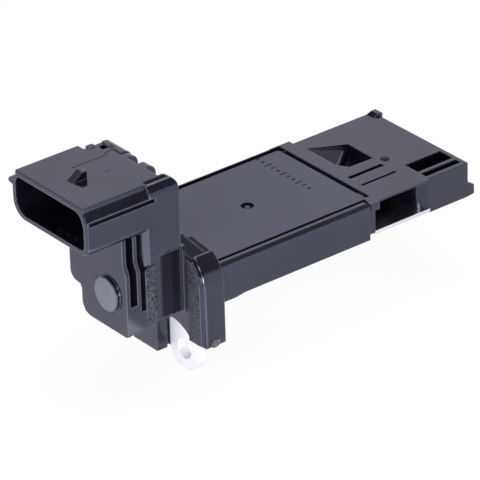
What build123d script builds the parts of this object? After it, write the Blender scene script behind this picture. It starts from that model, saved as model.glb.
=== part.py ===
from build123d import *
import os

os.makedirs("parts", exist_ok=True)

# Mass airflow sensor, millimetres. X runs along the blade to its tip, Z is up.
# The origin is on the flange's seating face, in the middle of the blade.

# blade body
bladeHalf = 17.2
bladeBottom = -3.4
bladeTop = 4.9
bladeEnd = 42.4
endWall = 1.5
rimInnerNear = -15.1
rimInnerFar = 16.65
lidTop = 4.55
lidThick = 1.3
lidStart = 3.4
lidEnd = 44.4
lidNear = -13.75
lidFar = 16.1
skirtHalf = 12.3
chamberFloor = -1.4
chamberHalf = 12.6
postTop = 3.2
plateTop = -2.2
plateThick = 0.8

# flange and its lugs
flangeHalf = 20.8
flangeTop = 10.6
flangeBottom = -11.0
flangeThick = 5.2
flangeRound = 7.4
gripFace = -6.0
seatStep = 1.0
lugThick = 2.2
lugHole = 2.3
lugRadius = 4.8
lugNear = (-9.3, -16.45)
lugFar = (15.9, 15.6)
screwClear = 8.8
sealInnerY = 18.0
sealInnerZ = 5.5
sealMidZ = 0.6
sealWidth = 1.4
sealDepth = 1.0

# head block and tower
nearFace = -14.4
farFace = 7.0
towerBack = -6.0
blockFront = -20.4
plateWall = 1.05
ribStart = -17.55
ribWall = 0.95
coreFront = -15.6
padEnd = -12.84
panelEnd = -5.6
panelTop = 11.2
neckTop = 11.4
panelDepth = 0.7
sidePadTop = 9.8
blockBottom = -5.05
coreBottom = -4.2
jogHeight = 10.5
jogDepth = 1.0
towerFar = 8.05
bossPlace = (-8.15, 3.15)
bossRadius = 3.98

# connector shroud
mouth = -29.55
shroudTop = 27.85
shroudBottom = 17.0
shroudBack = -13.3
shroudFar = 11.3
shroudMid = -1.55
shroudWall = 1.15
socketFloor = -15.0

# terminals
pinCount = 5
pinPitch = 2.8
pinWidth = 1.5
pinThick = 0.6
pinLevel = 22.2
pinTip = -23.4
pinDrop = -10.4
tailLevel = 0.6
tailEnd = 8.6

# bypass tip
tipStart = 45.1
tipEnd = 70.8
tipNear = -16.1
tipFar = 15.75
tipBottom = -3.4
lipEnd = 72.6
portEnd = 56.9
portRound = 2.9
portTop = 4.2
brimEdge = 0.14
passageCeiling = 0.2
wideStart = 44.3
plateEnd = 59.8


def box(x0, x1, y0, y1, z0, z1, mode=Mode.ADD):
    """A box between two opposite corners."""
    with Locations(((x0 + x1) / 2, (y0 + y1) / 2, (z0 + z1) / 2)):
        Box(x1 - x0, y1 - y0, z1 - z0, mode=mode)


def crossPlane(x):
    """A sketch plane square to the blade: local x is world Y, local y is world Z."""
    return Plane(origin=(x, 0, 0), x_dir=(0, 1, 0), z_dir=(1, 0, 0))


def pinCentre(index):
    """The Y of one terminal."""
    return shroudMid + (index - (pinCount - 1) / 2) * pinPitch


def roundCorners(sketch, corners):
    """Round chosen corners of a sketch, each given by its place in the sketch and a radius."""
    for across, level, radius in corners:
        fillet(sketch.vertices().sort_by_distance((across, level, 0))[0], radius)


def edgeNear(solid, x, y, z):
    """The edge of a solid whose middle lies nearest a point."""
    return solid.edges().sort_by(lambda edge: (edge.position_at(0.5) - Vector(x, y, z)).length)[0]


def save(part, name):
    """Label one piece and write its STEP file."""
    part.label = name
    export_step(part, "parts/" + name + ".step")


# outline of the shroud, with the small key rail of its far side
shroudOutline = [(nearFace + 1.4, shroudTop), (nearFace + 1.4, 26.95), (nearFace, 24.95), (nearFace, shroudBottom),
                 (shroudFar, shroudBottom), (shroudFar, 24.0), (shroudFar + 1.4, 24.25), (shroudFar + 1.4, 25.1),
                 (shroudFar - 0.8, 26.6), (shroudFar - 1.2, 26.9), (shroudFar - 1.2, shroudTop)]


# terminals: one blade in the socket, one leg down the tower, one tail in the chamber
terminals = []
for index in range(pinCount):
    centre = pinCentre(index)
    with BuildPart() as terminal:
        with BuildSketch(Plane(origin=(0, centre, 0), x_dir=(1, 0, 0), z_dir=(0, -1, 0))):
            half = pinThick / 2
            with BuildLine():
                Polyline([(pinTip, pinLevel - half), (pinDrop - half, pinLevel - half),
                          (pinDrop - half, tailLevel - half), (tailEnd, tailLevel - half),
                          (tailEnd, tailLevel + half), (pinDrop + half, tailLevel + half),
                          (pinDrop + half, pinLevel + half), (pinTip, pinLevel + half)], close=True)
            make_face()
        extrude(amount=pinWidth / 2, both=True)
        chamfer(terminal.edges().group_by(Axis.X)[0], 0.2)
    terminals.append(terminal.part)


# lugs: a flat metal eye with a thin tail that the flange is moulded around
def lugPart(centre, side, reach):
    y, z = centre
    tailStart = z + side * reach
    tailStop = tailStart + side * 3.3
    with BuildPart() as lug:
        with BuildSketch(crossPlane(0)):
            with Locations((y, z)):
                Circle(lugRadius)
            with Locations((y, z + side * reach / 2)):
                Rectangle(2 * lugRadius, reach)
            with Locations((y, z)):
                Circle(lugHole, mode=Mode.SUBTRACT)
        extrude(amount=-lugThick)
        box(-lugThick, -1.3, y - 3.0, y + 3.0, min(tailStart, tailStop) - 0.1, max(tailStart, tailStop))
        with Locations((-1.75, y, tailStop - side * 1.3)):
            Cylinder(0.8, 3.0, rotation=(0, 90, 0), mode=Mode.SUBTRACT)
    return lug.part


lug_near = lugPart(lugNear, 1, 9.45)
lug_far = lugPart(lugFar, -1, 7.6)

# base plate: the heat spreader under the circuit, which is also the floor of the bypass
with BuildPart() as base_plate:
    box(8.5, wideStart, -13.0, 13.0, plateTop - plateThick, plateTop)
    box(wideStart, plateEnd, -16.45, 13.0, plateTop - plateThick, plateTop)

# seal: a flat rubber ring in the flange's seating face, around the blade
with BuildPart() as flange_seal:
    with BuildSketch(crossPlane(0)):
        with Locations((0, sealMidZ)):
            RectangleRounded(2 * (sealInnerY + sealWidth), 2 * (sealInnerZ + sealWidth), 2.4)
            RectangleRounded(2 * sealInnerY, 2 * sealInnerZ, 1.0, mode=Mode.SUBTRACT)
    extrude(amount=-sealDepth)

# block core under the tower, with a shallow panel in its near face that is open below
with BuildPart() as core:
    box(coreFront, towerBack, nearFace, farFace, coreBottom, shroudBottom + 4)
    fillet(edgeNear(core, coreFront, nearFace, (coreBottom + shroudBottom + 4) / 2), 2.2)
    box(towerBack - 1.0, towerBack + 1.0, nearFace, farFace, coreBottom, neckTop)
    with BuildSketch(Plane(origin=(0, nearFace, 0), x_dir=(1, 0, 0), z_dir=(0, -1, 0))) as panelFace:
        with BuildLine():
            Polyline([(padEnd, coreBottom - 1.0), (panelEnd, coreBottom - 1.0), (panelEnd, panelTop),
                      (padEnd, panelTop)], close=True)
        make_face()
        roundCorners(panelFace, [(panelEnd, panelTop, 1.1)])
    extrude(amount=-panelDepth, mode=Mode.SUBTRACT)
    fillet(edgeNear(core, (padEnd + panelEnd) / 2, nearFace + panelDepth, coreBottom), 0.4)

# bar that closes the slots between the plates below, its underside falling toward the front plate
with BuildPart() as slotBar:
    with BuildSketch(Plane(origin=(0, 0.8, 0), x_dir=(1, 0, 0), z_dir=(0, -1, 0))):
        with BuildLine():
            Polyline([(blockFront + 0.4, blockBottom + 0.05), (coreFront + 2.3, coreBottom), (coreFront + 2.3, 0.0),
                      (blockFront + 0.4, 0.0)], close=True)
        make_face()
    extrude(amount=0.8 - nearFace)
    fillet(edgeNear(slotBar, (blockFront + coreFront) / 2 + 1.3, nearFace, (blockBottom + coreBottom) / 2), 0.4)

# grip pad on the near face of the core
with BuildPart() as sidePad:
    box(coreFront, padEnd, nearFace - 0.35, nearFace + 2.2, -3.4, sidePadTop)
    fillet(edgeNear(sidePad, coreFront, nearFace, sidePadTop), 1.0)
    fillet(sidePad.edges().group_by(Axis.Y)[0], 0.12)

# tower behind the shroud: its side outline crossed with its end outline, each with a round upper corner
with BuildPart() as tower:
    with BuildSketch(Plane(origin=(0, towerFar, 0), x_dir=(1, 0, 0), z_dir=(0, -1, 0))) as sideFace:
        with BuildLine():
            Polyline([(shroudBack - 0.1, 12.0), (towerBack, 12.0), (towerBack, shroudTop),
                      (shroudBack - 0.1, shroudTop)], close=True)
        make_face()
        roundCorners(sideFace, [(towerBack, shroudTop, 2.0)])
    extrude(amount=towerFar - nearFace)
    with BuildSketch(crossPlane(shroudBack - 1)) as endFace:
        with BuildLine():
            Polyline([(nearFace, 11.0), (towerFar, 11.0), (towerFar, shroudTop), (nearFace, shroudTop)], close=True)
        make_face()
        roundCorners(endFace, [(nearFace, shroudTop, 3.0)])
    extrude(amount=towerBack - shroudBack + 2, mode=Mode.INTERSECT)

# raised bar across the far half of the tower's back edge
with BuildPart() as towerBar:
    box(-8.7, towerBack, 1.3, 8.0, 20.0, shroudTop + 0.25)
    fillet(edgeNear(towerBar, towerBack, 4.65, shroudTop + 0.25), 1.95)

with BuildPart() as towerBump:
    box(-12.6, -10.6, 7.2, 8.8, 25.0, shroudTop + 0.2)
    fillet(towerBump.edges().filter_by(Axis.Z), 0.6)
    fillet(towerBump.edges().group_by(Axis.Z)[-1], 0.15)

# shroud with its socket, mouth edges softened
with BuildPart() as shroud:
    with BuildSketch(crossPlane(mouth)) as shroudFace:
        with BuildLine():
            Polyline(shroudOutline, close=True)
        make_face()
        roundCorners(shroudFace, [(nearFace, shroudBottom, 2.2), (shroudFar, shroudBottom, 4.2),
                                  (nearFace + 1.4, shroudTop, 0.35)])
    extrude(amount=shroudBack - mouth)
    chamfer(shroud.edges().group_by(Axis.X)[0], 0.25)

with BuildPart() as lockRamp:
    with BuildSketch(Plane(origin=(0, -1.7, 0), x_dir=(1, 0, 0), z_dir=(0, -1, 0))):
        with BuildLine():
            Polyline([(-24.2, shroudTop - 0.3), (-24.2, shroudTop), (-21.7, shroudTop + 1.8),
                      (-20.5, shroudTop + 1.8), (-20.5, shroudTop - 0.3)], close=True)
        make_face()
    extrude(amount=1.05, both=True)
    fillet(lockRamp.edges().group_by(Axis.Z)[-1], 0.15)

# round boss on the front plate
with BuildPart() as boss:
    with BuildSketch(Plane(origin=(blockFront + 0.2, bossPlace[0], bossPlace[1]), x_dir=(0, -1, 0), z_dir=(-1, 0, 0))):
        Circle(bossRadius)
    extrude(amount=0.9)
    fillet(boss.edges().group_by(Axis.X)[0], 0.15)

# foot that stands beside a lug: thin in front, thicker behind, where the lug's eye leaves room
def footPart(centre, side):
    y, z = centre
    inner = z + side * 7.45
    outer = z - side * 1.15
    bottom = min(inner, outer)
    top = max(inner, outer)
    with BuildPart() as foot:
        for x0, x1, first in ((gripFace, -3.3, 4.4), (-3.4, -lugThick, 5.35), (-lugThick - 0.1, 0, 4.8)):
            edges = sorted((y + side * first, y + side * 12.6))
            box(x0, x1, edges[0], edges[1], bottom, top)
    return foot.part


footNear = footPart(lugNear, 1)
footFar = footPart(lugFar, -1)

# housing: blade tray, flange, head block, tower and connector shroud in one moulding
with BuildPart() as housing:
    # blade tray and its slightly thicker root
    box(-0.5, bladeEnd, -bladeHalf, bladeHalf, bladeBottom, bladeTop)
    with BuildSketch(Plane(origin=(0, 0, 0), x_dir=(1, 0, 0), z_dir=(0, -1, 0))):
        with BuildLine():
            Polyline([(-0.5, bladeBottom - 0.5), (6.0, bladeBottom - 0.5), (9.4, bladeBottom),
                      (9.4, bladeBottom + 0.5), (-0.5, bladeBottom + 0.5)], close=True)
        make_face()
    extrude(amount=bladeHalf - 0.2, both=True)
    # the rim falls away a little toward its outer edge
    for side, slope in ((-1, 1.3), (1, 0.3)):
        with BuildSketch(crossPlane(-0.5)):
            with BuildLine():
                Polyline([(side * (bladeHalf - slope), bladeTop), (side * bladeHalf, bladeTop - 0.25),
                          (side * (bladeHalf + 1), bladeTop - 0.25), (side * (bladeHalf + 1), bladeTop + 1),
                          (side * (bladeHalf - slope), bladeTop + 1)], close=True)
            make_face()
        extrude(amount=bladeEnd + 1, mode=Mode.SUBTRACT)
    # the end wall carries on as a slimmer post below the tip's tab
    box(bladeEnd, wideStart, -bladeHalf + 0.6, bladeHalf - 0.6, bladeBottom + 0.9, postTop)
    box(bladeEnd, tipStart - 0.1, -14.9, 15.6, bladeBottom + 0.9, postTop)

    # flange plate with soft upper corners
    with BuildSketch(crossPlane(0)) as flangeFace:
        with BuildLine():
            Polyline([(-flangeHalf, flangeBottom), (flangeHalf, flangeBottom),
                      (flangeHalf, flangeTop), (-flangeHalf, flangeTop)], close=True)
        make_face()
        roundCorners(flangeFace, [(-flangeHalf, flangeBottom, 0.8), (flangeHalf, flangeBottom, 0.8),
                                  (-flangeHalf, flangeTop, flangeRound), (flangeHalf, flangeTop, flangeRound)])
    extrude(amount=-flangeThick)
    fillet(housing.edges().group_by(Axis.X)[0], 0.7)

    # clearance for the screw heads, in front of each lug, and a smaller arch just before the near one
    for centre in (lugNear, lugFar):
        with BuildSketch(crossPlane(-3.3)):
            with Locations(centre):
                Circle(screwClear)
        extrude(amount=-flangeThick, mode=Mode.SUBTRACT)
        with BuildSketch(crossPlane(-lugThick)):
            with Locations((centre[0] + 0.7, centre[1] + 2.75 * (1 if centre[1] < 0 else -1))):
                Circle(4.7)
        extrude(amount=-1.2, mode=Mode.SUBTRACT)

    # the top of the flange is cut lower beside the block, with a fine line along its rear
    with BuildSketch(crossPlane(1.0)):
        with BuildLine():
            Polyline([(-9.0, 10.4), (-17.0, 9.3), (-17.0, flangeTop + 1), (-9.0, flangeTop + 1)], close=True)
        make_face()
    extrude(amount=-flangeThick - 2, mode=Mode.SUBTRACT)
    with BuildSketch(crossPlane(-1.2)):
        with BuildLine():
            Polyline([(-9.0, 10.25), (-17.0, 9.15), (-17.0, flangeTop + 1), (-9.0, flangeTop + 1)], close=True)
        make_face()
    extrude(amount=-0.15, mode=Mode.SUBTRACT)

    # grip pad on the near end of the flange, inside its rounded corner
    with BuildSketch(crossPlane(gripFace)) as grip:
        with BuildLine():
            cornerArc = CenterArc((flangeRound - flangeHalf, flangeTop - flangeRound), flangeRound - 0.6, 180, -66)
            Polyline([cornerArc @ 1, (-16.15, -10.0), (-20.2, -10.0), cornerArc @ 0])
        make_face()
        roundCorners(grip, [((cornerArc @ 1).X, (cornerArc @ 1).Y, 0.9)])
    extrude(amount=gripFace * -1 - flangeThick + 0.2)

    # feet and head block
    add(footNear)
    add(footFar)
    add(core.part)
    add(slotBar.part)
    add(sidePad.part)

    # upright plates in front of the core
    with BuildSketch(crossPlane(ribStart)):
        with BuildLine():
            Polyline([(nearFace, -2.0), (farFace - 1.5, -2.0), (farFace - 1.5, shroudBottom + 2),
                      (nearFace + jogDepth, shroudBottom + 2), (nearFace + jogDepth, jogHeight + 1.2),
                      (nearFace, jogHeight - 1.2)], close=True)
        make_face()
    extrude(amount=ribWall)
    with BuildSketch(crossPlane(blockFront)) as plateFace:
        with BuildLine():
            Polyline([(nearFace, blockBottom), (1.15, blockBottom), (1.15, 0.8), (1.6, 1.35), (4.95, 1.75),
                      (4.95, shroudBottom + 2), (nearFace + jogDepth, shroudBottom + 2),
                      (nearFace + jogDepth, jogHeight + 1.2), (nearFace, jogHeight - 1.2)], close=True)
        make_face()
        roundCorners(plateFace, [(nearFace, blockBottom, 0.7), (1.15, blockBottom, 2.9), (4.95, 1.75, 2.2),
                                 (nearFace + jogDepth, jogHeight + 1.2, 2.0), (nearFace, jogHeight - 1.2, 2.0)])
    extrude(amount=plateWall)
    # the slot in front of the rib ends a little higher
    box(blockFront + plateWall - 0.1, ribStart + 0.1, nearFace, 0.8, -0.9, 1.9)

    # tower, shroud and what stands on them
    add(tower.part)
    add(towerBar.part)
    add(towerBump.part)
    add(shroud.part)
    add(lockRamp.part)
    add(boss.part)

    # groove along the near side of shroud and tower
    box(mouth + 0.65, -12.1, nearFace - 1, nearFace + 0.7, 24.05, 24.95, mode=Mode.SUBTRACT)

    # socket
    with BuildSketch(crossPlane(mouth)) as socketFace:
        near = nearFace + shroudWall
        far = shroudFar - shroudWall
        low = shroudBottom + shroudWall
        high = shroudTop - shroudWall
        with BuildLine():
            Polyline([(nearFace + 2.2, high), (near, 23.6), (near, low), (far, low), (far, 25.2),
                      (shroudFar - 2.2, high)], close=True)
        make_face()
        roundCorners(socketFace, [(nearFace + 2.2, high, 2.6), (near, low, 1.4), (far, low, 3.4),
                                  (shroudFar - 2.2, high, 1.0)])
    extrude(amount=socketFloor - mouth, mode=Mode.SUBTRACT)

    # shallow ring round the boss
    with BuildSketch(Plane(origin=(blockFront, bossPlace[0], bossPlace[1]), x_dir=(0, -1, 0), z_dir=(-1, 0, 0))):
        Circle(bossRadius + 0.6)
        Circle(bossRadius + 0.1, mode=Mode.SUBTRACT)
    extrude(amount=-0.15, mode=Mode.SUBTRACT)

    # coring pockets in the back of the tower, which leave upright ribs, and two small pits on its top
    for pocketStart, pocketEnd in ((-11.2, -6.8), (-4.45, -0.75)):
        box(-8.9, towerBack + 0.9, pocketStart, pocketEnd, 12.6, shroudTop + 1, mode=Mode.SUBTRACT)
    box(-10.4, -8.9, 5.3, 7.0, shroudTop - 2, shroudTop + 1, mode=Mode.SUBTRACT)
    box(-8.5, -8.1, 4.35, 5.8, shroudTop - 0.8, shroudTop + 1, mode=Mode.SUBTRACT)

    # lid seat, chamber and the window over the base plate
    box(lidStart, bladeEnd + 3, rimInnerNear, rimInnerFar, lidTop - lidThick, bladeTop + 1, mode=Mode.SUBTRACT)
    box(5.6, bladeEnd - endWall, -chamberHalf, chamberHalf, chamberFloor, bladeTop, mode=Mode.SUBTRACT)
    box(11.0, 39.0, -11.5, 11.5, bladeBottom - 1, chamberFloor + 1, mode=Mode.SUBTRACT)
    box(8.5, bladeEnd + 3, -13.0, 13.0, bladeBottom - 1, plateTop, mode=Mode.SUBTRACT)

    # seating face: the middle of the plate's back is lower above the blade and below it
    box(-seatStep, 1, -10.2, 10.2, flangeTop - 2.4, flangeTop + 1, mode=Mode.SUBTRACT)

    # shelf for the terminal tails, inside the chamber
    box(5.4, tailEnd, -9.0, 6.0, chamberFloor, tailLevel - pinThick / 2)

# circuit board: a ceramic plate bonded to the base plate, with a tongue into the bypass
with BuildPart() as circuit_board:
    box(11.6, 38.4, -11.0, 11.0, plateTop + 0.1, plateTop + 0.9)

with BuildPart() as board_adhesive:
    box(12.2, 37.8, -10.4, 10.4, plateTop, plateTop + 0.1)

# sensing carrier: a thin stepped strip that reaches through the end wall
with BuildPart() as sensor_carrier:
    box(34.0, 50.0, -6.6, -1.4, -1.2, -0.6)
    box(34.0, 37.6, -6.6, -1.4, plateTop + 0.9, -1.2)
    box(47.2, 49.2, -5.0, -3.0, -0.9, 0, mode=Mode.SUBTRACT)
    fillet(sensor_carrier.edges().filter_by(Axis.Z).group_by(Axis.X)[-1], 0.6)

with BuildPart() as sensing_chip:
    box(47.2, 49.2, -5.0, -3.0, -0.9, -0.6)
    box(47.7, 48.7, -4.4, -3.6, -1.0, -0.72, mode=Mode.SUBTRACT)

# driver chip, and the small parts that stand on the board
boardTop = plateTop + 0.9
with BuildPart() as driver_chip:
    box(20.0, 27.0, -3.5, 3.5, boardTop, boardTop + 1.1)
    chamfer(driver_chip.edges().filter_by(Axis.Z), 0.25)


def chipPart(x, y, length, width, height):
    """A small block with a metal cap on each end, resting on the board."""
    with BuildPart() as chip:
        box(x, x + length, y, y + width, boardTop, boardTop + height)
        box(x + 0.45, x + length - 0.45, y - 1, y + width + 1, boardTop + height - 0.06,
            boardTop + height + 1, mode=Mode.SUBTRACT)
    return chip.part


capacitors = [chipPart(14.0, -8.6, 3.2, 1.6, 1.2), chipPart(14.0, 6.8, 3.2, 1.6, 1.2),
              chipPart(30.4, 5.2, 3.2, 2.4, 1.4)]
resistors = [chipPart(20.4, -8.2, 2.0, 1.2, 0.5), chipPart(24.4, -8.2, 2.0, 1.2, 0.5)]

# links that join each terminal's tail to the board
links = []
for index in range(pinCount):
    centre = pinCentre(index)
    with BuildPart() as link:
        with BuildSketch(Plane(origin=(0, centre, 0), x_dir=(1, 0, 0), z_dir=(0, -1, 0))):
            top = tailLevel + pinThick / 2
            with BuildLine():
                Polyline([(7.2, top), (7.2, top + 0.3), (10.2, top + 0.3), (12.2, boardTop + 0.3),
                          (13.2, boardTop + 0.3), (13.2, boardTop), (12.0, boardTop),
                          (10.0, top)], close=True)
            make_face()
        extrude(amount=0.4, both=True)
    links.append(link.part)

# lid: a flat plate with a moulding mark, sunk just below the rim
with BuildPart() as circuit_lid:
    box(lidStart + 0.2, lidEnd, lidNear, lidFar, lidTop - lidThick + 0.1, lidTop)
    fillet(circuit_lid.edges().filter_by(Axis.Z).group_by(Axis.X)[-1], 0.9)
    fillet(circuit_lid.edges().group_by(Axis.Z)[-1], 0.15)
    box(7.0, 39.6, -skirtHalf, skirtHalf, lidTop - lidThick - 0.5, lidTop - lidThick + 0.1)
    box(8.2, 38.4, 1.2 - skirtHalf, skirtHalf - 1.2, lidTop - lidThick - 1, lidTop - lidThick + 0.1,
        mode=Mode.SUBTRACT)
    # moulding mark: a dished ring with a low dome in it
    with Locations((23.3, 0.6, lidTop)):
        Cylinder(1.45, 1.4, mode=Mode.SUBTRACT)
    with Locations((23.3, 0.6, lidTop - 0.6)):
        Cylinder(0.7, 0.6)
    fillet(circuit_lid.edges().filter_by(GeomType.CIRCLE).sort_by_distance((23.3, 0.6, lidTop - 0.3))[0], 0.3)

# bead of sealant between the lid and its seat
with BuildPart() as lid_sealant:
    box(lidStart + 0.7, 42.0, lidNear + 0.1, lidFar - 1, lidTop - lidThick, lidTop - lidThick + 0.1)
    box(5.6, 40.9, -chamberHalf, chamberHalf, lidTop - lidThick - 1, lidTop - lidThick + 1, mode=Mode.SUBTRACT)

# soft gel that covers the circuit
with BuildPart() as circuit_gel:
    box(5.6, bladeEnd - endWall, -chamberHalf, chamberHalf, chamberFloor, 1.9)
    box(11.0, 39.0, -11.5, 11.5, plateTop, chamberFloor)

# ramp in the tip's funnel recess: it falls gently toward the near side and ends in a round crest
with BuildPart() as ramp:
    with BuildSketch(crossPlane(48.0)):
        with BuildLine():
            Polyline([(13.0, 4.85), (13.0, 1.0), (0.5, 1.0), (0.5, 3.1)], close=True)
        make_face()
    extrude(amount=9.8)
    with BuildSketch(Plane.XY):
        with BuildLine():
            Polyline([(48.0, 13.0), (57.6, 8.2), (48.0, 0.95)], close=True)
        make_face()
    extrude(amount=6.0, mode=Mode.INTERSECT)
    fillet(edgeNear(ramp, 52.8, 4.6, 3.7), 1.3)

# bypass tip: air enters on the near side, is squeezed over the sensing chip and leaves on the far side
with BuildPart() as bypass_housing:
    box(tipStart, tipEnd, tipNear, tipFar, tipBottom, bladeTop)
    # thin brim over the port, with a sloping underside
    with BuildSketch(crossPlane(tipStart)):
        with BuildLine():
            Polyline([(tipNear - 0.6, bladeTop), (tipNear - 0.6, bladeTop - brimEdge), (tipNear + 1, portTop),
                      (tipNear + 1, bladeTop)], close=True)
        make_face()
    extrude(amount=59.5 - tipStart)
    # stop lip across the end
    with BuildSketch(Plane(origin=(0, tipFar, 0), x_dir=(1, 0, 0), z_dir=(0, -1, 0))) as lip:
        with BuildLine():
            Polyline([(tipEnd - 0.5, tipBottom), (lipEnd, tipBottom + 0.25), (lipEnd, -0.9),
                      (tipEnd - 0.5, 0.4)], close=True)
        make_face()
        roundCorners(lip, [(lipEnd, -0.9, 0.6)])
    extrude(amount=tipFar - tipNear)
    # small ramped stud on the far corner
    with BuildSketch(Plane(origin=(0, tipFar, 0), x_dir=(1, 0, 0), z_dir=(0, -1, 0))):
        with BuildLine():
            Polyline([(68.8, bladeTop - 0.2), (69.0, bladeTop), (70.4, bladeTop + 0.5),
                      (71.6, bladeTop + 0.5), (71.6, 2.6), (tipEnd - 0.3, 2.2)], close=True)
        make_face()
    extrude(amount=2.4)

    # main passage, which the base plate closes from below
    box(tipStart - 1, portEnd, tipNear - 2, -9.8, plateTop, portTop, mode=Mode.SUBTRACT)
    box(46.0, portEnd, -10, 13.8, plateTop, passageCeiling, mode=Mode.SUBTRACT)
    box(48.6, 56.0, 13, 18, plateTop + 0.4, passageCeiling, mode=Mode.SUBTRACT)
    # seat of the base plate
    box(tipStart - 1, plateEnd, tipNear - 2, 13.0, tipBottom - 1, plateTop, mode=Mode.SUBTRACT)
    # slit for the sensing carrier
    box(tipStart - 1, 46.5, -6.6, -1.4, -1.2, -0.6, mode=Mode.SUBTRACT)
    # rounded cheek at the port's far end
    with BuildSketch(Plane.XY.offset(plateTop)):
        with Locations((portEnd + portRound / 2, tipNear + portRound / 2)):
            Rectangle(portRound, portRound)
        with Locations((portEnd + portRound, tipNear + portRound)):
            Circle(portRound, mode=Mode.SUBTRACT)
    extrude(amount=portTop - plateTop, mode=Mode.SUBTRACT)

    # funnel recess in the top, with the ramp in it
    with BuildSketch(Plane.XY.offset(bladeTop + 0.01)):
        with BuildLine():
            Polyline([(48.8, 12.0), (57.0, 7.6), (56.8, -1.0), (50.4, -0.8), (48.8, 1.8)], close=True)
        make_face()
    extrude(amount=-3.6, mode=Mode.SUBTRACT)
    add(ramp.part)

    # slots and pockets that keep the walls even
    box(47.0, 56.5, -5.2, -4.1, 1.6, bladeTop + 1, mode=Mode.SUBTRACT)
    box(46.9, 56.6, -9.3, -8.65, 1.6, bladeTop + 1, mode=Mode.SUBTRACT)
    box(59.9, 69.8, -12.3, -8.1, -1.8, bladeTop + 1, mode=Mode.SUBTRACT)
    box(59.9, 69.8, -15.0, -13.3, -1.8, bladeTop + 1, mode=Mode.SUBTRACT)
    with Locations((58.5, -2.9, bladeTop)):
        Cylinder(0.9, 0.5, mode=Mode.SUBTRACT)
    with Locations((58.6, -2.9, bladeTop - 0.25)):
        Cylinder(0.4, 0.4)

    # tabs that reach back over the blade's end: one on the near corner, one along the far edge
    with BuildSketch(Plane.XY.offset(postTop)):
        with BuildLine():
            Polyline([(tipStart + 0.05, lidNear - 0.1), (43.5, lidNear - 0.1), (43.2, rimInnerNear),
                      (42.75, -16.7), (42.75, -17.15), (tipStart + 0.05, -17.15)], close=True)
        make_face()
    extrude(amount=bladeTop - postTop)
    box(42.5, 48.2, 16.75, 17.1, postTop, bladeTop)
    box(tipStart, 48.2, tipFar - 1, 17.1, tipBottom + 0.8, bladeTop)

# the moulding closes round its metal: terminals, lugs, seal groove and base plate
housingBody = housing.part
for insert in terminals + [lug_near, lug_far, flange_seal.part, base_plate.part, sensor_carrier.part]:
    housingBody = housingBody - insert
gelBody = circuit_gel.part
for insert in (terminals + links + capacitors + resistors
               + [housingBody, circuit_board.part, board_adhesive.part, sensor_carrier.part,
                  driver_chip.part, circuit_lid.part]):
    gelBody = gelBody - insert
tipBody = bypass_housing.part - sensor_carrier.part - base_plate.part

save(housingBody, "housing")
save(tipBody, "bypass_housing")
save(circuit_lid.part, "circuit_lid")
save(lid_sealant.part, "lid_sealant")
save(base_plate.part, "base_plate")
save(flange_seal.part, "flange_seal")
save(lug_near, "lug_near")
save(lug_far, "lug_far")
save(circuit_board.part, "circuit_board")
save(board_adhesive.part, "board_adhesive")
save(sensor_carrier.part, "sensor_carrier")
save(sensing_chip.part, "sensing_chip")
save(driver_chip.part, "driver_chip")
save(gelBody, "circuit_gel")
for index in range(pinCount):
    save(terminals[index], "terminal_" + str(index + 1))
    save(links[index], "link_" + str(index + 1))
for index in range(len(capacitors)):
    save(capacitors[index], "capacitor_" + str(index + 1))
for index in range(len(resistors)):
    save(resistors[index], "resistor_" + str(index + 1))
for body in (housingBody, tipBody, gelBody, circuit_lid.part):
    print(body.label, body.bounding_box(), len(body.solids()), body.is_valid)
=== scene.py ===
import bpy
import bmesh
import math
import random
from mathutils import Matrix, Vector


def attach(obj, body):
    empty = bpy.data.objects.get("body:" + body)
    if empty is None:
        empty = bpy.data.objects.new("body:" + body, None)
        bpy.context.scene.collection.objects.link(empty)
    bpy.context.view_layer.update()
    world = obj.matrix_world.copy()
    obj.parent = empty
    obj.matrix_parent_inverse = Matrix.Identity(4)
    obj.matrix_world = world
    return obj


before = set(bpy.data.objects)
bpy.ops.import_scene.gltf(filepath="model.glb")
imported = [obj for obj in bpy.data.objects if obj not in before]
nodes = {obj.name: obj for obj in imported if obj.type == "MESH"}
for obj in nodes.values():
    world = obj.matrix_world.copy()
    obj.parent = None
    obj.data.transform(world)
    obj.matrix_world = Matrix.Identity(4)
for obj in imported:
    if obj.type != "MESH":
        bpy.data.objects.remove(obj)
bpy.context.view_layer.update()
print("frame loaded:", len(nodes), "nodes")
bpy.ops.object.select_all(action="DESELECT")
random.seed(11)
mm = 0.001


def join(tree, source, target):
    tree.links.new(source, target)


# a node with its settings made first, because they decide which sockets it has
def addNode(tree, kind, values=None, **settings):
    node = tree.nodes.new(kind)
    for key, value in settings.items():
        setattr(node, key, value)
    for key, value in (values or {}).items():
        node.inputs[key].default_value = value
    return node


# shared shader groups are built once, then placed in each material
def newGroup(name, inputs, outputs):
    group = bpy.data.node_groups.new(name, "ShaderNodeTree")
    for label, kind, value in inputs:
        socket = group.interface.new_socket(name=label, in_out="INPUT", socket_type=kind)
        socket.default_value = value
    for label, kind in outputs:
        group.interface.new_socket(name=label, in_out="OUTPUT", socket_type=kind)
    start = group.nodes.new("NodeGroupInput")
    end = group.nodes.new("NodeGroupOutput")
    return group, start, end


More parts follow.
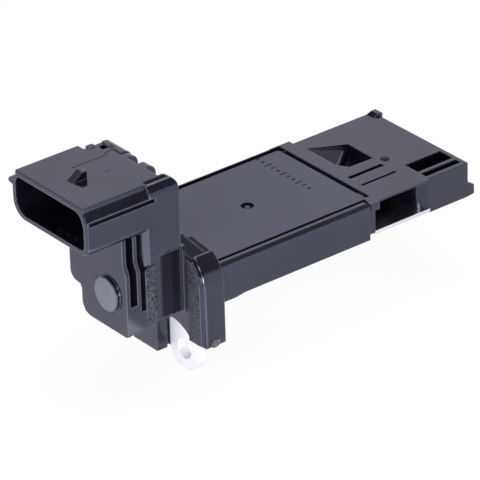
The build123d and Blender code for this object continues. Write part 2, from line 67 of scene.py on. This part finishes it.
# fine moulded grain: two noises at tool-mark scale, blended into a height
def buildGrainGroup():
    grain = {"size": 3500.0, "fineShare": 0.4, "coarseDetail": 3.0, "fineDetail": 2.0, "fineScale": 3.1}
    group, start, end = newGroup("mouldGrain", [
        ("Grain Size", "NodeSocketFloat", grain["size"]),
        ("Fine Share", "NodeSocketFloat", grain["fineShare"])],
        [("Height", "NodeSocketFloat")])
    coord = addNode(group, "ShaderNodeTexCoord")
    coarse = addNode(group, "ShaderNodeTexNoise", {"Detail": grain["coarseDetail"]})
    fine = addNode(group, "ShaderNodeTexNoise", {"Detail": grain["fineDetail"]})
    finer = addNode(group, "ShaderNodeMath", {1: grain["fineScale"]}, operation="MULTIPLY")
    blend = addNode(group, "ShaderNodeMix")
    join(group, coord.outputs["Object"], coarse.inputs["Vector"])
    join(group, coord.outputs["Object"], fine.inputs["Vector"])
    join(group, start.outputs["Grain Size"], coarse.inputs["Scale"])
    join(group, start.outputs["Grain Size"], finer.inputs[0])
    join(group, finer.outputs[0], fine.inputs["Scale"])
    join(group, start.outputs["Fine Share"], blend.inputs["Factor"])
    join(group, coarse.outputs["Fac"], blend.inputs["A"])
    join(group, fine.outputs["Fac"], blend.inputs["B"])
    join(group, blend.outputs["Result"], end.inputs["Height"])
    return group


# slow drift of tone across a moulding, from flow and handling
def buildDriftGroup():
    drift = {"dark": (0.02, 0.02, 0.03, 1.0), "light": (0.03, 0.03, 0.04, 1.0), "patch": 60.0,
             "detail": 4.0, "span": (0.3, 0.7)}
    group, start, end = newGroup("toneDrift", [
        ("Dark", "NodeSocketColor", drift["dark"]),
        ("Light", "NodeSocketColor", drift["light"]),
        ("Patch Size", "NodeSocketFloat", drift["patch"])],
        [("Color", "NodeSocketColor"), ("Mask", "NodeSocketFloat")])
    coord = addNode(group, "ShaderNodeTexCoord")
    patches = addNode(group, "ShaderNodeTexNoise", {"Detail": drift["detail"]})
    spread = addNode(group, "ShaderNodeMapRange",
                     {"From Min": drift["span"][0], "From Max": drift["span"][1]})
    blend = addNode(group, "ShaderNodeMix", data_type="RGBA")
    join(group, coord.outputs["Object"], patches.inputs["Vector"])
    join(group, start.outputs["Patch Size"], patches.inputs["Scale"])
    join(group, patches.outputs["Fac"], spread.inputs["Value"])
    join(group, spread.outputs["Result"], blend.inputs["Factor"])
    join(group, start.outputs["Dark"], blend.inputs["A"])
    join(group, start.outputs["Light"], blend.inputs["B"])
    join(group, blend.outputs["Result"], end.inputs["Color"])
    join(group, spread.outputs["Result"], end.inputs["Mask"])
    return group


# painted highlight: outer corners of the head are painted paler, where light would catch them; narrow,
# and much fainter in front of the flange, on the blade
def buildCornerHighlightGroup():
    rim = {"reach": 0.0003, "samples": 8, "openness": (0.97, 0.55), "along": (0.001, -0.001),
           "bladeShare": 0.12}
    group, start, end = newGroup("paintedCornerHighlights", [
        ("Reach", "NodeSocketFloat", rim["reach"])],
        [("Mask", "NodeSocketFloat")])
    corner = addNode(group, "ShaderNodeAmbientOcclusion", inside=True, only_local=True,
                     samples=rim["samples"])
    rise = addNode(group, "ShaderNodeMapRange",
                   {"From Min": rim["openness"][0], "From Max": rim["openness"][1]})
    coord = addNode(group, "ShaderNodeTexCoord")
    place = addNode(group, "ShaderNodeSeparateXYZ")
    head = addNode(group, "ShaderNodeMapRange",
                   {"From Min": rim["along"][0], "From Max": rim["along"][1],
                    "To Min": rim["bladeShare"]})
    both = addNode(group, "ShaderNodeMath", operation="MULTIPLY")
    join(group, start.outputs["Reach"], corner.inputs["Distance"])
    join(group, corner.outputs["AO"], rise.inputs["Value"])
    join(group, coord.outputs["Object"], place.inputs[0])
    join(group, place.outputs["X"], head.inputs["Value"])
    join(group, rise.outputs["Result"], both.inputs[0])
    join(group, head.outputs["Result"], both.inputs[1])
    join(group, both.outputs[0], end.inputs["Mask"])
    return group


grainGroup = buildGrainGroup()
driftGroup = buildDriftGroup()
cornerHighlightGroup = buildCornerHighlightGroup()

# what a look has unless it says otherwise
plainLook = {"patch": 60.0, "grain": 3500.0, "bump": 0.05, "relief": 0.00005, "corner": 0.0002,
             "metal": 0.0, "ior": 1.5, "tint": (1.0, 1.0, 1.0), "cornerSamples": 6}


def finish(name, ownLook):
    look = {**plainLook, **ownLook}
    material = bpy.data.materials.new(name)
    material.use_nodes = True
    tree = material.node_tree
    shader = tree.nodes["Principled BSDF"]
    drift = addNode(tree, "ShaderNodeGroup",
                    {"Dark": look["dark"] + (1.0,), "Light": look["light"] + (1.0,),
                     "Patch Size": look["patch"]}, node_tree=driftGroup)
    join(tree, drift.outputs["Color"], shader.inputs["Base Color"])
    if "edge" in look:
        # painted highlight: outer corners are painted paler, where light would catch them
        cornerHighlightMask = addNode(tree, "ShaderNodeGroup", {"Reach": look["reach"]}, node_tree=cornerHighlightGroup)
        paintedHighlight = addNode(tree, "ShaderNodeMix", {"B": look["edge"] + (1.0,)}, data_type="RGBA")
        join(tree, cornerHighlightMask.outputs["Mask"], paintedHighlight.inputs["Factor"])
        join(tree, drift.outputs["Color"], paintedHighlight.inputs["A"])
        join(tree, paintedHighlight.outputs["Result"], shader.inputs["Base Color"])
    grain = addNode(tree, "ShaderNodeGroup", {"Grain Size": look["grain"]}, node_tree=grainGroup)
    bump = addNode(tree, "ShaderNodeBump", {"Strength": look["bump"], "Distance": look["relief"]})
    join(tree, grain.outputs["Height"], bump.inputs["Height"])
    # moulded corners are never quite sharp
    soft = addNode(tree, "ShaderNodeBevel", {"Radius": look["corner"]}, samples=look["cornerSamples"])
    join(tree, soft.outputs["Normal"], bump.inputs["Normal"])
    join(tree, bump.outputs["Normal"], shader.inputs["Normal"])
    rough = addNode(tree, "ShaderNodeMapRange",
                    {"To Min": look["rough"][0], "To Max": look["rough"][1]})
    join(tree, drift.outputs["Mask"], rough.inputs["Value"])
    join(tree, rough.outputs["Result"], shader.inputs["Roughness"])
    shader.inputs["Metallic"].default_value = look["metal"]
    shader.inputs["IOR"].default_value = look["ior"]
    shader.inputs["Specular Tint"].default_value = look["tint"] + (1.0,)
    return material


# colours in linear light, lengths in metres, patch and grain as noise scales
looks = {
    "blackMoulding": {"dark": (0.002, 0.0022, 0.005), "light": (0.016, 0.016, 0.024),
                      "rough": (0.07, 0.13), "corner": 0.00028, "ior": 1.68,
                      "tint": (0.76, 0.78, 1.0), "patch": 35.0,
                      # edge is the painted highlight colour of outer corners, reach how far into a
                      # corner it spreads
                      "edge": (0.07, 0.072, 0.092), "reach": 0.0003},
    "blackLid": {"dark": (0.002, 0.002, 0.006), "light": (0.02, 0.02, 0.032),
                 "rough": (0.1, 0.18), "corner": 0.00012, "ior": 1.68,
                 "tint": (0.7, 0.7, 1.0), "patch": 35.0},
    "gripMoulding": {"dark": (0.0005, 0.0005, 0.001), "light": (0.1, 0.103, 0.13),
                     "rough": (0.35, 0.6), "bump": 1.0, "relief": 0.0003,
                     "grain": 2600.0, "patch": 2000.0, "corner": 0.0001, "ior": 1.2},
    "bossMatte": {"dark": (0.135, 0.138, 0.172), "light": (0.172, 0.175, 0.212),
                  "rough": (0.5, 0.65), "bump": 0.25, "patch": 700.0},
    "scarMoulding": {"dark": (0.001, 0.001, 0.002), "light": (0.2, 0.2, 0.21),
                     "rough": (0.4, 0.7), "bump": 1.0, "relief": 0.0003,
                     "grain": 1800.0, "patch": 1900.0, "ior": 1.25},
    "scarDark": {"dark": (0.001, 0.001, 0.002), "light": (0.07, 0.07, 0.075),
                 "rough": (0.5, 0.7), "bump": 1.0, "relief": 0.0003,
                 "grain": 1800.0, "patch": 1900.0, "ior": 1.15},
    "inkDark": {"dark": (0.004, 0.004, 0.006), "light": (0.008, 0.008, 0.011),
                "rough": (0.4, 0.55), "ior": 1.2},
    "sealant": {"dark": (0.16, 0.16, 0.17), "light": (0.24, 0.24, 0.25), "rough": (0.45, 0.6)},
    "plateMetal": {"dark": (0.75, 0.75, 0.78), "light": (0.84, 0.84, 0.86),
                   "rough": (0.22, 0.32), "metal": 1.0},
    "lugMetal": {"dark": (0.93, 0.93, 0.97), "light": (0.97, 0.97, 1.0),
                 "rough": (0.4, 0.55), "metal": 0.12},
    "rubber": {"dark": (0.012, 0.012, 0.012), "light": (0.02, 0.02, 0.02), "rough": (0.6, 0.75)},
    "ceramic": {"dark": (0.74, 0.73, 0.69), "light": (0.82, 0.81, 0.77), "rough": (0.4, 0.5)},
    "resin": {"dark": (0.02, 0.02, 0.022), "light": (0.035, 0.035, 0.037), "rough": (0.45, 0.6)},
    "silicon": {"dark": (0.1, 0.11, 0.16), "light": (0.16, 0.17, 0.23), "rough": (0.08, 0.12)},
    "tinPlate": {"dark": (0.66, 0.65, 0.62), "light": (0.76, 0.75, 0.72),
                 "rough": (0.2, 0.35), "metal": 1.0},
    # painted shade: the terminals' plating is darkened to the shade deep inside the socket
    "shadedPinPlate": {"dark": (0.1, 0.1, 0.1), "light": (0.15, 0.148, 0.145),
                 "rough": (0.4, 0.5), "metal": 1.0},
    "component": {"dark": (0.3, 0.22, 0.14), "light": (0.42, 0.32, 0.22), "rough": (0.35, 0.5)},
    "gel": {"dark": (0.6, 0.62, 0.6), "light": (0.68, 0.7, 0.68), "rough": (0.05, 0.1)},
}
gelClearness = 0.8
finishes = {name: finish(name, look) for name, look in looks.items()}
gelShader = finishes["gel"].node_tree.nodes["Principled BSDF"]
gelShader.inputs["Transmission Weight"].default_value = gelClearness

# nodes that come in numbers go by the start of their names
nodeFinish = {
    "housing": "blackMoulding", "bypass_housing": "blackMoulding", "circuit_lid": "blackLid",
    "lid_sealant": "sealant", "base_plate": "plateMetal", "flange_seal": "rubber",
    "lug_near": "lugMetal", "lug_far": "lugMetal", "circuit_board": "ceramic",
    "board_adhesive": "sealant", "sensor_carrier": "resin", "sensing_chip": "silicon",
    "driver_chip": "resin", "circuit_gel": "gel",
}
seriesFinish = {"capacitor": "component", "resistor": "component", "terminal": "shadedPinPlate",
                "link": "tinPlate"}
for name, node in nodes.items():
    kind = nodeFinish.get(name) or seriesFinish[name.rsplit("_", 1)[0]]
    node.data.materials.clear()
    node.data.materials.append(finishes[kind])
print("finishes given")


# what counts as level or in place, in millimetres, and as facing one way, for a unit normal
near = {"level": 0.01, "side": 0.1, "facing": 0.9}


def clearAll():
    if bpy.context.object is not None and bpy.context.object.mode != "OBJECT":
        bpy.ops.object.mode_set(mode="OBJECT")
    bpy.ops.object.select_all(action="DESELECT")


# a block between two corners, in millimetres
def startBlock(name, low, high):
    clearAll()
    middle = [(a + b) / 2 * mm for a, b in zip(low, high)]
    bpy.ops.mesh.primitive_cube_add(size=1.0, location=middle)
    piece = bpy.context.object
    piece.name = name
    piece.scale = [(b - a) * mm for a, b in zip(low, high)]
    bpy.ops.object.transform_apply(location=True, rotation=True, scale=True)
    return piece


# selects the edges that pass a test on their middle and run, in millimetres
def pickEdges(piece, test):
    bpy.ops.object.mode_set(mode="EDIT")
    bpy.ops.mesh.select_mode(type="EDGE")
    bpy.ops.mesh.select_all(action="DESELECT")
    shape = bmesh.from_edit_mesh(piece.data)
    for edge in shape.edges:
        run = (edge.verts[0].co - edge.verts[1].co) / mm
        middle = (edge.verts[0].co + edge.verts[1].co) / 2 / mm
        edge.select = test(middle, run)
    shape.select_flush_mode()
    bmesh.update_edit_mesh(piece.data)


# selects the faces that pass a test on their middle, in millimetres, and their normal
def pickFaces(piece, test):
    bpy.ops.object.mode_set(mode="EDIT")
    bpy.ops.mesh.select_mode(type="FACE")
    bpy.ops.mesh.select_all(action="DESELECT")
    shape = bmesh.from_edit_mesh(piece.data)
    for face in shape.faces:
        face.select = test(face.calc_center_median() / mm, face.normal)
    shape.select_flush_mode()
    bmesh.update_edit_mesh(piece.data)


# gives a shaped piece its look and its body
def settle(piece, look, smooth=None):
    bpy.ops.object.mode_set(mode="OBJECT")
    piece.data.materials.clear()
    piece.data.materials.append(finishes[look])
    if smooth is not None:
        bpy.ops.object.shade_smooth_by_angle(angle=math.radians(smooth))
    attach(piece, "root")


# grained skins of the two grip pads, one on the block and one on the flange
grips = {
    "blockGrip": {"low": (-15.45, -14.83, -3.2), "high": (-12.95, -14.7, 9.62), "across": 0,
                  "lift": 1, "round": 0.8, "roundSide": -15.45},
    "flangeGrip": {"low": (-6.09, -20.05, -9.85), "high": (-5.95, -16.3, 9.2), "across": 1,
                   "lift": 0, "round": 2.9, "roundSide": -20.05},
}
gripRim = {"width": 0.12, "depth": 0.03, "segments": 8, "smooth": 30}
for name, grip in grips.items():
    piece = startBlock(name, grip["low"], grip["high"])
    lift = grip["lift"]
    across = grip["across"]
    # the upper edge at the round side, across the skin's thickness
    pickEdges(piece, lambda middle, run: abs(run[lift]) > near["level"]
              and abs(run[across]) < near["level"] and abs(run[2]) < near["level"]
              and middle[2] > 0 and abs(middle[across] - grip["roundSide"]) < near["side"])
    bpy.ops.mesh.bevel(offset=grip["round"] * mm, segments=gripRim["segments"], affect="EDGES")
    pickFaces(piece, lambda middle, normal: normal[lift] < -near["facing"])
    bpy.ops.mesh.inset(thickness=gripRim["width"] * mm, depth=gripRim["depth"] * mm)
    settle(piece, "gripMoulding", gripRim["smooth"])
print("grips made")

# matte end of the boss, very slightly crowned
bossEnd = {"centre": (-21.1, -8.15, 3.15), "radius": 3.7, "thick": 0.1, "sides": 72,
           "insets": ((0.25, 0.03), (1.4, 0.05)), "smooth": 40}
clearAll()
bpy.ops.mesh.primitive_cylinder_add(vertices=bossEnd["sides"], radius=bossEnd["radius"] * mm,
                                    depth=bossEnd["thick"] * mm,
                                    location=[c * mm for c in bossEnd["centre"]],
                                    rotation=(0, math.pi / 2, 0))
piece = bpy.context.object
piece.name = "bossFace"
bpy.ops.object.transform_apply(location=True, rotation=True, scale=True)
pickFaces(piece, lambda middle, normal: normal[0] < -near["facing"])
for width, depth in bossEnd["insets"]:
    bpy.ops.mesh.inset(thickness=width * mm, depth=depth * mm)
settle(piece, "bossMatte", bossEnd["smooth"])
print("boss face made")

# broken-off gate at the foot of the flange's near side, and a smaller one on the tip
scars = {
    "flangeScar": {"low": (-4.1, -20.95, -10.9), "high": (-1.5, -20.7, -8.9), "face": (1, -1),
                   "rough": 0.28, "look": "scarMoulding"},
    "tipScar": {"low": (57.5, -4.0, 4.86), "high": (59.5, -1.9, 4.95), "face": (2, 1),
                "rough": 0.22, "look": "scarDark"},
}
tear = {"cuts": 7, "middle": 0.01, "outline": (0.86, 1.06), "height": (-0.1, 1.0), "smooth": 50}
for name, scar in scars.items():
    piece = startBlock(name, scar["low"], scar["high"])
    axis, sign = scar["face"]
    bpy.ops.object.mode_set(mode="EDIT")
    bpy.ops.mesh.select_all(action="SELECT")
    bpy.ops.mesh.subdivide(number_cuts=tear["cuts"])
    bpy.ops.object.mode_set(mode="OBJECT")
    centre = [(a + b) / 2 for a, b in zip(scar["low"], scar["high"])]
    half = [(b - a) / 2 for a, b in zip(scar["low"], scar["high"])]
    flat = [k for k in range(3) if k != axis]
    for vertex in piece.data.vertices:
        place = vertex.co / mm
        reach = max(abs(place[k] - centre[k]) / half[k] for k in flat)
        spread = math.hypot(*[(place[k] - centre[k]) / half[k] for k in flat])
        if spread > tear["middle"]:
            for k in flat:
                place[k] = centre[k] + ((place[k] - centre[k]) * reach / spread
                                        * random.uniform(*tear["outline"]))
        if (place[axis] - centre[axis]) * sign > 0:
            place[axis] += (sign * random.uniform(*tear["height"]) * scar["rough"]
                            * (1 - reach ** 2))
        vertex.co = place * mm
    settle(piece, scar["look"], tear["smooth"])
print("gate scars made")

# thin witness lines left by the mould on top of the shroud
witness = {"level": 27.85, "height": 0.05, "width": 0.14, "sunk": 0.03, "bevel": 0.03, "segments": 2,
           "lines": ((-20.1, 2.95, -10.9, 2.95), (-11.2, 3.9, -9.2, 3.9), (-16.0, -2.6, -15.0, -3.2))}
for index, (x0, y0, x1, y1) in enumerate(witness["lines"]):
    length = math.hypot(x1 - x0, y1 - y0)
    low = (-length / 2, -witness["width"] / 2, -witness["sunk"])
    piece = startBlock("witnessLine_%d" % (index + 1), low, [-low[0], -low[1], witness["height"]])
    pickEdges(piece, lambda middle, run: abs(run[0]) > length / 2 and middle[2] > 0)
    bpy.ops.mesh.bevel(offset=witness["bevel"] * mm, segments=witness["segments"], affect="EDGES")
    bpy.ops.object.mode_set(mode="OBJECT")
    piece.rotation_euler = (0, 0, math.atan2(y1 - y0, x1 - x0))
    piece.location = ((x0 + x1) / 2 * mm, (y0 + y1) / 2 * mm, witness["level"] * mm)
    bpy.ops.object.transform_apply(location=True, rotation=True, scale=True)
    settle(piece, "inkDark")
print("witness lines made")

# a plain row of bars and studs stands where the lid is marked; kinds are length and width
marking = {"along": 38.2, "start": 15.6, "step": -1.75, "count": 11, "level": 4.55,
           "kinds": ((1.2, 0.26), (0.62, 0.62), (1.9, 0.26)), "sunk": 0.05, "proud": 0.04,
           "bevel": 0.08, "segments": 3}
for index in range(marking["count"]):
    y = marking["start"] + index * marking["step"]
    long, wide = marking["kinds"][index % len(marking["kinds"])]
    piece = startBlock("lidMark_%02d" % (index + 1),
                       (marking["along"] - long / 2, y - wide / 2, marking["level"] - marking["sunk"]),
                       (marking["along"] + long / 2, y + wide / 2, marking["level"] + marking["proud"]))
    pickEdges(piece, lambda middle, run: abs(run[2]) > near["level"])
    bpy.ops.mesh.bevel(offset=marking["bevel"] * mm, segments=marking["segments"], affect="EDGES")
    settle(piece, "inkDark")
print("lid marking made")

# white floor: it glows for the camera and in mirrored light, but takes a faint shadow
stage = {"floorLevel": -0.0212, "floorSize": 6.0, "color": (0.9, 0.9, 0.9, 1.0), "rough": 0.9,
         "glow": 1.02, "cameraShare": 0.92, "cameraTone": (1.0, 1.0, 1.0, 1.0),
         "mirrorTone": (0.96, 0.965, 1.06, 1.0)}
bpy.ops.mesh.primitive_plane_add(size=stage["floorSize"], location=(0, 0, stage["floorLevel"]))
floor = bpy.context.object
floor.name = "floor"
floorLook = bpy.data.materials.new("floorWhite")
floorLook.use_nodes = True
floorTree = floorLook.node_tree
floorShader = floorTree.nodes["Principled BSDF"]
floorShader.inputs["Base Color"].default_value = stage["color"]
floorShader.inputs["Roughness"].default_value = stage["rough"]
glow = addNode(floorTree, "ShaderNodeEmission", {"Strength": stage["glow"]})
paths = addNode(floorTree, "ShaderNodeLightPath")
seen = addNode(floorTree, "ShaderNodeMath", operation="MAXIMUM")
share = addNode(floorTree, "ShaderNodeMath", {1: stage["cameraShare"]}, operation="MULTIPLY")
glowTone = addNode(floorTree, "ShaderNodeMix",
                   {"A": stage["mirrorTone"], "B": stage["cameraTone"]}, data_type="RGBA")
mixer = addNode(floorTree, "ShaderNodeMixShader")
join(floorTree, paths.outputs["Is Camera Ray"], glowTone.inputs["Factor"])
join(floorTree, glowTone.outputs["Result"], glow.inputs["Color"])
join(floorTree, paths.outputs["Is Camera Ray"], share.inputs[0])
join(floorTree, paths.outputs["Is Glossy Ray"], seen.inputs[1])
join(floorTree, share.outputs[0], seen.inputs[0])
join(floorTree, seen.outputs[0], mixer.inputs[0])
join(floorTree, floorShader.outputs[0], mixer.inputs[1])
join(floorTree, glow.outputs[0], mixer.inputs[2])
join(floorTree, mixer.outputs[0], floorTree.nodes["Material Output"].inputs["Surface"])
floor.data.materials.append(floorLook)

# a tent that is white behind the part and low down all round, and dim elsewhere; its heights
# are degrees of elevation
tent = {"white": 1.0, "dim": 0.1, "tone": (0.96, 0.965, 1.06, 1.0), "lowWall": (13.0, 19.0),
        "rearWall": (35.0, 42.0), "behind": (0.62, 0.79, 0.0), "rearFade": (-0.15, 0.25)}
world = bpy.data.worlds.new("studio")
bpy.context.scene.world = world
world.use_nodes = True
worldTree = world.node_tree
backdrop = worldTree.nodes["Background"]
aim = addNode(worldTree, "ShaderNodeTexCoord")
parts = addNode(worldTree, "ShaderNodeSeparateXYZ")
join(worldTree, aim.outputs["Generated"], parts.inputs[0])


# 1 below a wall's first height, fading to 0 at its second
def addWall(heights):
    wall = addNode(worldTree, "ShaderNodeMapRange",
                   {"From Min": math.sin(math.radians(heights[0])),
                    "From Max": math.sin(math.radians(heights[1])),
                    "To Min": 1.0, "To Max": 0.0}, interpolation_type="SMOOTHSTEP")
    join(worldTree, parts.outputs["Z"], wall.inputs["Value"])
    return wall


rearWall = addWall(tent["rearWall"])
lowWall = addWall(tent["lowWall"])
facing = addNode(worldTree, "ShaderNodeVectorMath", {1: tent["behind"]}, operation="DOT_PRODUCT")
rear = addNode(worldTree, "ShaderNodeMapRange",
               {"From Min": tent["rearFade"][0], "From Max": tent["rearFade"][1]},
               interpolation_type="SMOOTHSTEP")
both = addNode(worldTree, "ShaderNodeMath", operation="MULTIPLY")
either = addNode(worldTree, "ShaderNodeMath", operation="MAXIMUM")
level = addNode(worldTree, "ShaderNodeMapRange", {"To Min": tent["dim"], "To Max": tent["white"]})
sight = addNode(worldTree, "ShaderNodeLightPath")
plain = addNode(worldTree, "ShaderNodeMath", operation="MAXIMUM")
join(worldTree, aim.outputs["Generated"], facing.inputs[0])
join(worldTree, facing.outputs["Value"], rear.inputs["Value"])
join(worldTree, rearWall.outputs["Result"], both.inputs[0])
join(worldTree, rear.outputs["Result"], both.inputs[1])
join(worldTree, both.outputs[0], either.inputs[0])
join(worldTree, lowWall.outputs["Result"], either.inputs[1])
join(worldTree, either.outputs[0], level.inputs["Value"])
join(worldTree, level.outputs["Result"], plain.inputs[0])
join(worldTree, sight.outputs["Is Camera Ray"], plain.inputs[1])
join(worldTree, plain.outputs[0], backdrop.inputs["Strength"])
backdrop.inputs["Color"].default_value = tent["tone"]


# an area light, unseen by the camera, with its power worked out from its radiance
def addLight(name, size, radiance, location, rotation):
    data = bpy.data.lights.new(name, "AREA")
    data.shape = "RECTANGLE"
    data.size, data.size_y = size
    data.energy = radiance * math.pi * size[0] * size[1]
    light = bpy.data.objects.new(name, data)
    bpy.context.scene.collection.objects.link(light)
    light.location = location
    light.rotation_euler = rotation
    light.visible_camera = False


# soft boxes: azimuth and elevation that they stand at, metres away, width, and radiance
lamps = {
    "overheadBox": {"azimuth": 30.0, "elevation": 84.0, "away": 1.2, "size": 1.05, "radiance": 3.0},
    "keyBox": {"azimuth": -143.0, "elevation": 31.0, "away": 1.2, "size": 0.34, "radiance": 9.0},
    "lowBox": {"azimuth": -134.0, "elevation": 2.0, "away": 0.14, "size": 0.03, "radiance": 26.0},
}
lampAim = Vector((0.02, 0.0, 0.0))
for name, lamp in lamps.items():
    turn = math.radians(lamp["azimuth"])
    rise = math.radians(lamp["elevation"])
    direction = Vector((math.cos(turn) * math.cos(rise), math.sin(turn) * math.cos(rise),
                        math.sin(rise)))
    addLight(name, (lamp["size"], lamp["size"]), lamp["radiance"],
             lampAim + direction * lamp["away"], direction.to_track_quat("Z", "Y").to_euler())

# a bright card lies on the floor in front of the socket, outside what the blade's side mirrors
card = {"centre": (-0.038, -0.068), "size": (0.076, 0.066), "radiance": 1.6, "aboveFloor": 0.001}
addLight("frontCard", card["size"], card["radiance"],
         (card["centre"][0], card["centre"][1], stage["floorLevel"] + card["aboveFloor"]),
         (math.pi, 0, 0))
print("light set")

# camera, fitted to the edges in the photograph
cameraView = {"azimuth": -37.75, "elevation": 28.75, "roll": -1.7, "lens": 337.5, "sensor": 36.0,
              "clipEnd": 20.0, "position": (-0.49334, -0.66377, 0.45799)}
turn = math.radians(cameraView["azimuth"])
rise = math.radians(cameraView["elevation"])
roll = math.radians(cameraView["roll"])
back = Vector((math.sin(turn) * math.cos(rise), -math.cos(turn) * math.cos(rise), math.sin(rise)))
right = (-back).cross(Vector((0, 0, 1))).normalized()
up = right.cross(-back)
across = math.cos(roll) * right + math.sin(roll) * up
upright = -math.sin(roll) * right + math.cos(roll) * up
cameraData = bpy.data.cameras.new("view")
cameraData.lens = cameraView["lens"]
cameraData.sensor_width = cameraView["sensor"]
cameraData.clip_end = cameraView["clipEnd"]
camera = bpy.data.objects.new("view", cameraData)
bpy.context.scene.collection.objects.link(camera)
pose = Matrix((across, upright, back)).transposed().to_4x4()
pose.translation = Vector(cameraView["position"])
camera.matrix_world = pose
bpy.context.scene.camera = camera
bpy.context.scene.view_settings.view_transform = "Standard"
print("camera set")
